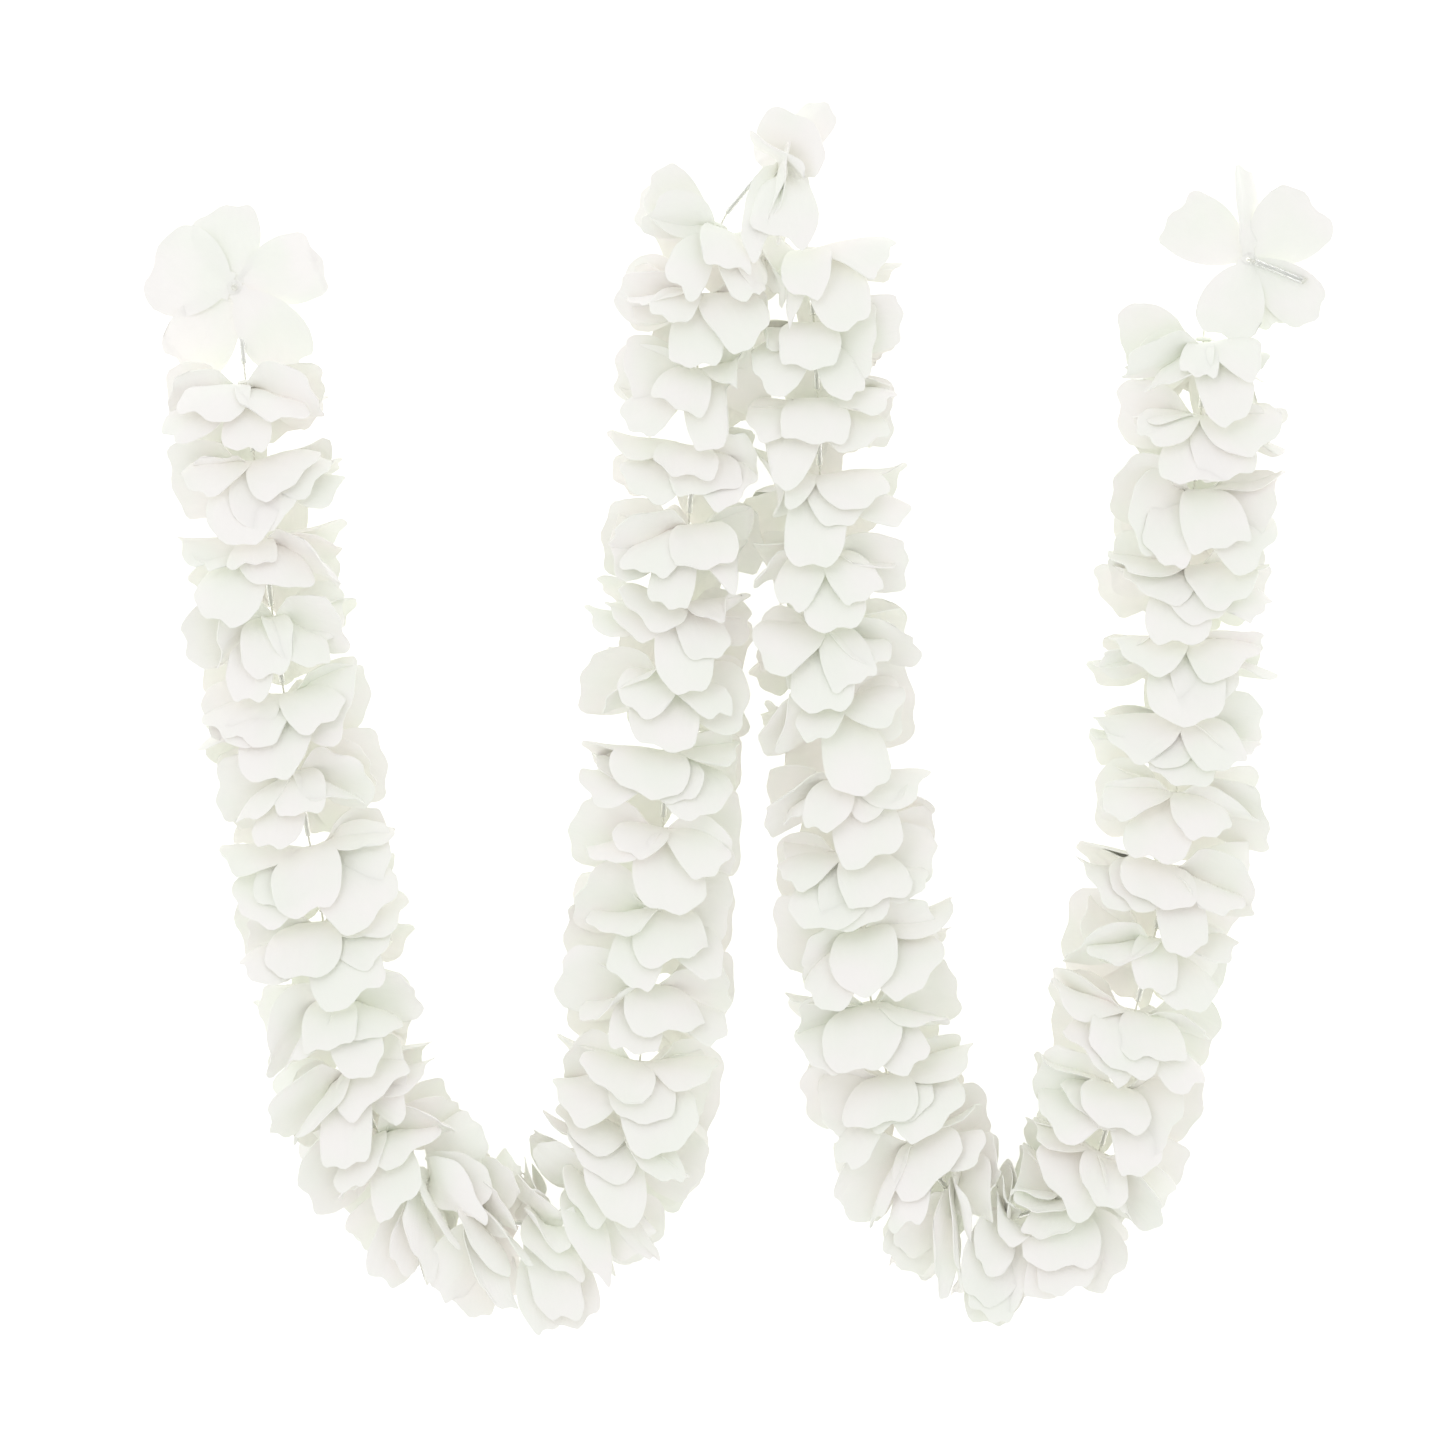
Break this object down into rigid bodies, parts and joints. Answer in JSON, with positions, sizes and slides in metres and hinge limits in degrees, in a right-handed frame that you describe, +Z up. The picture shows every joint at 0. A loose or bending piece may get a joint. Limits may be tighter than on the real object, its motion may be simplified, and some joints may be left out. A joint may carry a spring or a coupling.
{
  "type": "artificial flower lei",
  "caption": "Open lei of white fabric flowers on a thread with clear spacer tubes, laid flat in a W; worn round the neck or hung as a garland.",
  "frame": {"origin": "middle of the lei as it lies, on the surface under it", "axes": "+Z up from the surface; +Y toward the fold at the top of the W and the two free ends, -Y toward its two lower bends; +X from the end whose flower lies lower toward the end with a last tube"},
  "size_m": [0.5171, 0.5414, 0.0435],
  "materials": {
    "white_fabric": "matte woven, slightly translucent",
    "clear_tube": "clear"
  },
  "bodies": {
    "root": {"flower_01": "white_fabric", "flower_02": "white_fabric", "flower_03": "white_fabric", "flower_04": "white_fabric", "flower_05": "white_fabric", "flower_06": "white_fabric", "flower_07": "white_fabric", "flower_08": "white_fabric", "flower_09": "white_fabric", "flower_10": "white_fabric", "flower_11": "white_fabric", "flower_12": "white_fabric", "flower_13": "white_fabric", "flower_14": "white_fabric", "flower_15": "white_fabric", "flower_16": "white_fabric", "flower_17": "white_fabric", "flower_18": "white_fabric", "flower_19": "white_fabric", "flower_20": "white_fabric", "flower_21": "white_fabric", "flower_22": "white_fabric", "flower_23": "white_fabric", "flower_24": "white_fabric", "flower_25": "white_fabric", "flower_26": "white_fabric", "flower_27": "white_fabric", "flower_28": "white_fabric", "flower_29": "white_fabric", "flower_30": "white_fabric", "flower_31": "white_fabric", "flower_32": "white_fabric", "flower_33": "white_fabric", "flower_34": "white_fabric", "flower_35": "white_fabric", "flower_36": "white_fabric", "flower_37": "white_fabric", "flower_38": "white_fabric", "flower_39": "white_fabric", "flower_40": "white_fabric", "flower_41": "white_fabric", "flower_42": "white_fabric", "flower_43": "white_fabric", "flower_44": "white_fabric", "flower_45": "white_fabric", "flower_46": "white_fabric", "flower_47": "white_fabric", "flower_48": "white_fabric", "flower_49": "white_fabric", "flower_50": "white_fabric", "flower_51": "white_fabric", "flower_52": "white_fabric", "flower_53": "white_fabric", "flower_54": "white_fabric", "flower_55": "white_fabric", "flower_56": "white_fabric", "flower_57": "white_fabric", "flower_58": "white_fabric", "flower_59": "white_fabric", "strand": "clear_tube"}
  },
  "joints": []
}
